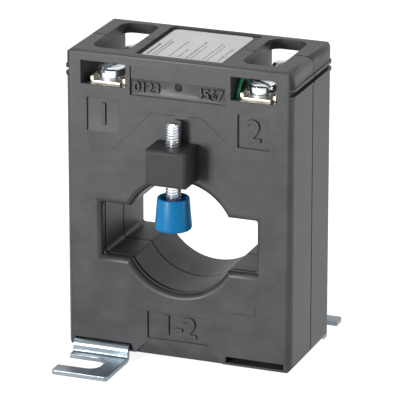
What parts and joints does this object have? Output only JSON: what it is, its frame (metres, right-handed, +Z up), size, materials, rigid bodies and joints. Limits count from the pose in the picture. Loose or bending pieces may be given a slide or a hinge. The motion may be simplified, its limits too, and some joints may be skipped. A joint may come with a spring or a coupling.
{
  "type": "current transformer",
  "caption": "Window-type current transformer: upright moulded housing with a round and slotted opening, top screw terminals, a bar clamp screw and sheet-metal feet.",
  "frame": {"origin": "middle of the body's footprint, on the surface that the feet stand on", "axes": "+X along the bar slot to the right, +Y from the clamp side to the rear, +Z up to the terminals"},
  "size_m": [0.0606, 0.0618, 0.0805],
  "materials": {
    "housing_plastic": "dark grey moulded, matt",
    "block_plastic": "black moulded, matt",
    "cap_plastic": "blue moulded, satin",
    "label_film": "white film, satin",
    "zinc_thread": "bright zinc",
    "screw_zinc": "bright zinc",
    "plate_nickel": "nickel plate, satin",
    "washer_steel": "zinc plate",
    "bar_brass": "plain brass",
    "foot_zinc": "blue zinc plate",
    "core_steel": "wound silicon steel strip",
    "insulation_film": "polyester film",
    "winding_copper": "enamelled copper wire",
    "tape": "polyester tape",
    "lead_green": "green insulation"
  },
  "bodies": {
    "housing": {"front_shell": "housing_plastic", "rear_shell": "housing_plastic", "rating_label": "label_film", "clamp_block": "block_plastic", "clamp_nut": "zinc_thread", "terminal_bar_left": "bar_brass", "terminal_bar_right": "bar_brass", "mounting_foot_front": "foot_zinc", "mounting_foot_rear": "foot_zinc", "ring_core": "core_steel", "core_insulation": "insulation_film", "secondary_winding": "winding_copper", "winding_tape": "tape", "lead_left": "lead_green", "lead_right": "lead_green"},
    "pressure_cap": {"clamp_cap": "cap_plastic"},
    "bar_screw": {"clamp_screw": "zinc_thread"},
    "plate_left_front": {"clamp_plate_left_front": "plate_nickel", "lock_washer_left_front": "washer_steel"},
    "screw_left_front": {"terminal_screw_left_front": "screw_zinc"},
    "plate_left_rear": {"clamp_plate_left_rear": "plate_nickel", "lock_washer_left_rear": "washer_steel"},
    "screw_left_rear": {"terminal_screw_left_rear": "screw_zinc"},
    "plate_right_front": {"clamp_plate_right_front": "plate_nickel", "lock_washer_right_front": "washer_steel"},
    "screw_right_front": {"terminal_screw_right_front": "screw_zinc"},
    "plate_right_rear": {"clamp_plate_right_rear": "plate_nickel", "lock_washer_right_rear": "washer_steel"},
    "screw_right_rear": {"terminal_screw_right_rear": "screw_zinc"}
  },
  "joints": [
    {"name": "bar_clamp_travel", "type": "slide", "parent": "housing", "child": "pressure_cap", "axis": [0, 0, 1], "range_m": [-0.0063, 0.0021]},
    {"name": "bar_clamp_turn", "type": "hinge", "parent": "pressure_cap", "child": "bar_screw", "pos_m": [0, -0.0178, 0.04625], "axis": [0, 0, 1], "range_deg": [-3250, 1090]},
    {"name": "plate_lift_left_front", "type": "slide", "parent": "housing", "child": "plate_left_front", "axis": [0, 0, 1], "range_m": [0, 0.00175]},
    {"name": "screw_turn_left_front", "type": "hinge", "parent": "plate_left_front", "child": "screw_left_front", "pos_m": [-0.01985, -0.0089, 0.073], "axis": [0, 0, 1], "range_deg": [-5, 905]},
    {"name": "plate_lift_left_rear", "type": "slide", "parent": "housing", "child": "plate_left_rear", "axis": [0, 0, 1], "range_m": [0, 0.00175]},
    {"name": "screw_turn_left_rear", "type": "hinge", "parent": "plate_left_rear", "child": "screw_left_rear", "pos_m": [-0.01985, 0.0089, 0.073], "axis": [0, 0, 1], "range_deg": [-5, 905]},
    {"name": "plate_lift_right_front", "type": "slide", "parent": "housing", "child": "plate_right_front", "axis": [0, 0, 1], "range_m": [0, 0.00175]},
    {"name": "screw_turn_right_front", "type": "hinge", "parent": "plate_right_front", "child": "screw_right_front", "pos_m": [0.01985, -0.0089, 0.073], "axis": [0, 0, 1], "range_deg": [-5, 905]},
    {"name": "plate_lift_right_rear", "type": "slide", "parent": "housing", "child": "plate_right_rear", "axis": [0, 0, 1], "range_m": [0, 0.00175]},
    {"name": "screw_turn_right_rear", "type": "hinge", "parent": "plate_right_rear", "child": "screw_right_rear", "pos_m": [0.01985, 0.0089, 0.073], "axis": [0, 0, 1], "range_deg": [-5, 905]}
  ],
  "couplings": [
    {"joint": "bar_clamp_turn", "follows": "bar_clamp_travel", "rad_per_m": 8976},
    {"joint": "screw_turn_left_front", "follows": "plate_lift_left_front", "rad_per_m": 8976},
    {"joint": "screw_turn_left_rear", "follows": "plate_lift_left_rear", "rad_per_m": 8976},
    {"joint": "screw_turn_right_front", "follows": "plate_lift_right_front", "rad_per_m": 8976},
    {"joint": "screw_turn_right_rear", "follows": "plate_lift_right_rear", "rad_per_m": 8976}
  ]
}
